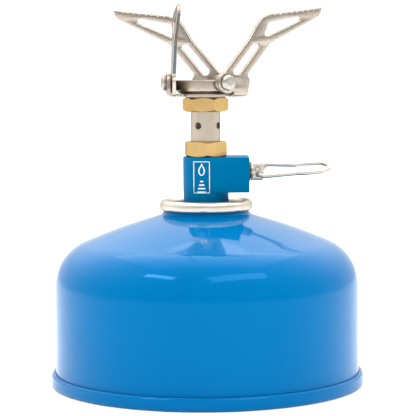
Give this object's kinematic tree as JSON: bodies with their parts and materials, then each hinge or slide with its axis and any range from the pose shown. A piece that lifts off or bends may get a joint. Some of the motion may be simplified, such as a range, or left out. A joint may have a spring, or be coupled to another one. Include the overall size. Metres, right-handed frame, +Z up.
{
  "type": "canister stove",
  "caption": "Compact gas camping stove screwed on a squat blue gas canister, with folding serrated pot supports and a wire-handled valve.",
  "frame": {"origin": "centre of the canister's foot, on the surface it stands on", "axes": "+Z up along the canister's axis, +X towards the valve handle, -Y towards the face with the pictogram"},
  "size_m": [0.11, 0.11, 0.1318],
  "materials": {
    "blue_paint": "gloss",
    "tinplate": "satin",
    "blue_anodised": "satin",
    "brass": "satin",
    "steel": "satin",
    "bright_steel": "polished",
    "sintered_bronze": "matt",
    "rubber_black": "matt",
    "acetal": "matt"
  },
  "bodies": {
    "canister": {"canister_shell": "blue_paint", "canister_base": "blue_paint", "valve_cup": "tinplate", "cup_gasket": "rubber_black", "valve_housing": "acetal", "stem_gasket": "rubber_black", "valve_spring": "bright_steel"},
    "valve_stem": {"valve_stem": "brass"},
    "connector_seal": {"connector_seal": "rubber_black"},
    "stove": {"valve_body": "blue_anodised", "depressor_pin": "brass", "inlet_filter": "sintered_bronze", "lower_nut": "brass", "jet": "brass", "mixing_tube": "steel", "upper_nut": "brass", "bracket_washer": "steel", "support_bracket": "steel", "burner_neck": "brass", "burner_washer": "steel", "neck_locknut": "brass", "burner_cup": "steel", "burner_plate": "steel", "gauze": "steel", "gland_ring": "rubber_black", "rivet_1": "bright_steel", "arm_washer_1": "bright_steel", "head_washer_1": "steel", "rivet_2": "bright_steel", "arm_washer_2": "bright_steel", "head_washer_2": "steel", "rivet_3": "bright_steel", "arm_washer_3": "bright_steel", "head_washer_3": "steel"},
    "spindle_seal": {"spindle_seal": "rubber_black"},
    "spindle": {"spindle": "bright_steel", "head_pin": "bright_steel"},
    "handle": {"handle": "bright_steel"},
    "pot_support_1": {"pot_support_1": "steel"},
    "pot_support_2": {"pot_support_2": "steel"},
    "pot_support_3": {"pot_support_3": "steel"}
  },
  "joints": [
    {"name": "stem_lift", "type": "slide", "parent": "canister", "child": "valve_stem", "axis": [0, 0, 1], "range_m": [0, 0.001], "deforming": ["valve_spring"]},
    {"name": "screw_lift", "type": "slide", "parent": "canister", "child": "connector_seal", "axis": [0, 0, 1], "range_m": [0, 0.00544]},
    {"name": "stove_unscrew", "type": "hinge", "parent": "connector_seal", "child": "stove", "pos_m": [0, 0, 0.064], "axis": [0, 0, 1], "range_deg": [0, 2160]},
    {"name": "needle_lift", "type": "slide", "parent": "stove", "child": "spindle_seal", "axis": [1, 0, 0], "range_m": [0, 0.0016]},
    {"name": "valve_turn", "type": "hinge", "parent": "spindle_seal", "child": "spindle", "pos_m": [0.015, 0, 0.0747], "axis": [1, 0, 0], "range_deg": [0, 720]},
    {"name": "handle_fold", "type": "hinge", "parent": "spindle", "child": "handle", "pos_m": [0.018, 0, 0.0735], "axis": [0, -1, 0], "range_deg": [-50, 40]},
    {"name": "support_fold_1", "type": "hinge", "parent": "stove", "child": "pot_support_1", "pos_m": [0.00632, -0.00955, 0.1057], "axis": [0.5519, -0.8339, 0], "range_deg": [0, 155]},
    {"name": "support_fold_2", "type": "hinge", "parent": "stove", "child": "pot_support_2", "pos_m": [0.00511, 0.01025, 0.1057], "axis": [0.4462, 0.8949, 0], "range_deg": [0, 155]},
    {"name": "support_fold_3", "type": "hinge", "parent": "stove", "child": "pot_support_3", "pos_m": [-0.01143, -0.0007, 0.1057], "axis": [-0.9981, -0.061, 0], "range_deg": [0, 155]}
  ],
  "couplings": [
    {"joint": "stove_unscrew", "follows": "screw_lift", "rad_per_m": 6927.4},
    {"joint": "stem_lift", "follows": "screw_lift", "ratio": 0.1838},
    {"joint": "valve_turn", "follows": "needle_lift", "rad_per_m": 7853.9},
    {"joint": "support_fold_2", "follows": "support_fold_1", "ratio": 1},
    {"joint": "support_fold_3", "follows": "support_fold_1", "ratio": 1}
  ]
}
